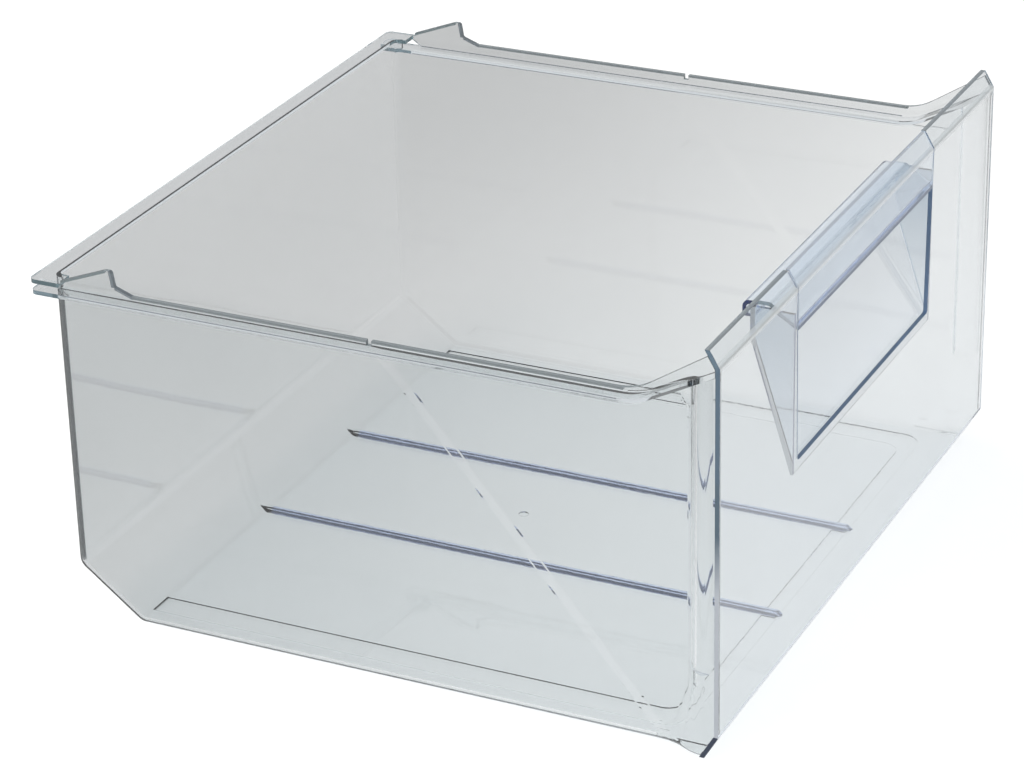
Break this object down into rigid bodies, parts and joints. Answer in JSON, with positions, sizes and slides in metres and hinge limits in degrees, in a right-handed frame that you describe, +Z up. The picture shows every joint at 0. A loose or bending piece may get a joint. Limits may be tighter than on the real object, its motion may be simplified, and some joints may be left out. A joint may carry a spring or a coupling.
{
  "type": "freezer drawer",
  "caption": "Clear moulded freezer drawer with a bevelled front panel, a folded grip over a finger pocket, side ledges that slide on rails, and a sloped rear wall.",
  "frame": {"origin": "middle of the footprint, on the surface the drawer stands on", "axes": "+X right as seen from the front, front panel faces -Y, +Z up"},
  "size_m": [0.425, 0.4046, 0.238],
  "materials": {
    "clear_tub": "clear polished",
    "clear_panel": "clear polished",
    "clear_grip": "clear polished",
    "clear_pocket": "clear polished"
  },
  "bodies": {
    "root": {"tub": "clear_tub", "front_panel": "clear_panel", "handle_grip": "clear_grip", "finger_pocket": "clear_pocket"}
  },
  "joints": []
}
